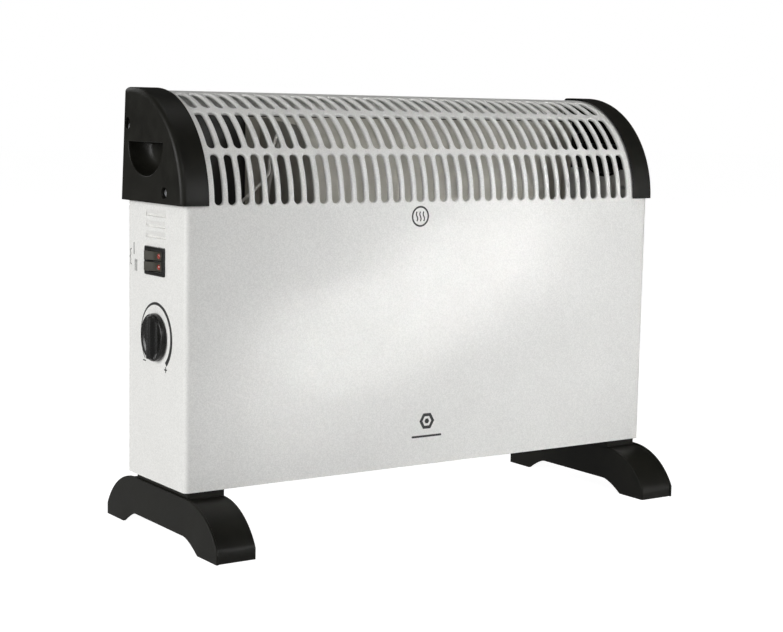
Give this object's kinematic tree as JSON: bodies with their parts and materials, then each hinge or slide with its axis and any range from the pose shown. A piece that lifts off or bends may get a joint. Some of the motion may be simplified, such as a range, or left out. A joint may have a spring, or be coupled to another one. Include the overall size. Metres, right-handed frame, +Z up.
{
  "type": "fan convector heater",
  "caption": "Free-standing convector heater: folded steel casing with a slotted rounded top, moulded end caps and feet, rocker switches, thermostat knob and a fan-assisted open-coil element.",
  "frame": {"origin": "on the floor, at the middle of the whole heater's footprint", "axes": "+Z up, front of the casing towards -Y, the end with the controls towards -X"},
  "size_m": [0.5326, 0.213, 0.3932],
  "materials": {
    "white_paint": "fine orange-peel powder coat",
    "black_plastic": "fine moulded grain",
    "gloss_black": "smooth, semi-gloss",
    "red_lens": "clear red moulding",
    "zinc_steel": "bright zinc plate",
    "aluminised_steel": "dull mirror",
    "mica_sheet": "flaky, slightly pearly",
    "heating_wire": "oxidised resistance wire",
    "motor_steel": "blued laminations",
    "copper_winding": "enamelled copper",
    "bakelite": "moulded phenolic",
    "white_nylon": "natural nylon",
    "brown_sleeve": "heat-resistant sleeve",
    "black_sleeve": "heat-resistant sleeve",
    "red_sleeve": "heat-resistant sleeve",
    "blue_sleeve": "heat-resistant sleeve",
    "white_sleeve": "heat-resistant sleeve"
  },
  "bodies": {
    "heater_body": {"front_shell": "white_paint", "rear_panel": "white_paint", "base_plate": "zinc_steel", "left_end_cap": "black_plastic", "right_end_cap": "black_plastic", "left_foot": "black_plastic", "right_foot": "black_plastic", "left_cap_screw_1": "zinc_steel", "left_cap_screw_2": "zinc_steel", "right_cap_screw_1": "zinc_steel", "right_cap_screw_2": "zinc_steel", "foot_screw_1": "zinc_steel", "foot_screw_2": "zinc_steel", "foot_screw_3": "zinc_steel", "foot_screw_4": "zinc_steel", "rear_screw_1": "zinc_steel", "rear_screw_2": "zinc_steel", "rear_screw_3": "zinc_steel", "rear_screw_4": "zinc_steel", "rear_screw_5": "zinc_steel", "rear_screw_6": "zinc_steel", "rear_screw_7": "zinc_steel", "rear_screw_8": "zinc_steel", "thermostat_screw_1": "zinc_steel", "thermostat_screw_2": "zinc_steel", "switch_bezel": "gloss_black", "thermostat_body": "bakelite", "left_partition": "aluminised_steel", "right_partition": "aluminised_steel", "rear_reflector": "aluminised_steel", "front_reflector": "aluminised_steel", "mica_board_1": "mica_sheet", "mica_board_2": "mica_sheet", "mica_board_3": "mica_sheet", "heating_coil_1": "heating_wire", "heating_coil_2": "heating_wire", "heating_coil_3": "heating_wire", "element_rod": "zinc_steel", "fan_shroud": "motor_steel", "fan_stator": "motor_steel", "fan_coil": "copper_winding", "fan_bridge": "zinc_steel", "fan_bearing_strap": "zinc_steel", "terminal_block": "white_nylon", "thermal_cutout": "bakelite", "live_lead": "brown_sleeve", "switch_lead": "black_sleeve", "element_lead": "red_sleeve", "neutral_lead": "blue_sleeve", "fan_lead": "white_sleeve", "cord_gland": "black_plastic"},
    "knob": {"thermostat_knob": "gloss_black", "thermostat_shaft": "zinc_steel"},
    "upper_switch": {"upper_rocker": "gloss_black", "upper_lens": "red_lens"},
    "lower_switch": {"lower_rocker": "gloss_black", "lower_lens": "red_lens"},
    "fan": {"fan_impeller": "white_nylon", "fan_rotor": "motor_steel"}
  },
  "joints": [
    {"name": "thermostat_turn", "type": "hinge", "parent": "heater_body", "child": "knob", "pos_m": [-0.25675, 0.0015, 0.178], "axis": [1, 0, 0], "range_deg": [-135, 135]},
    {"name": "upper_rocker_tilt", "type": "hinge", "parent": "heater_body", "child": "upper_switch", "pos_m": [-0.25475, 0.0033, 0.2487], "axis": [0, 0, -1], "range_deg": [0, 20]},
    {"name": "lower_rocker_tilt", "type": "hinge", "parent": "heater_body", "child": "lower_switch", "pos_m": [-0.25475, 0.0033, 0.2393], "axis": [0, 0, -1], "range_deg": [0, 20]},
    {"name": "fan_spin", "type": "hinge", "parent": "heater_body", "child": "fan", "pos_m": [0.05275, 0, 0.06], "axis": [0, 0, 1], "continuous": true}
  ]
}
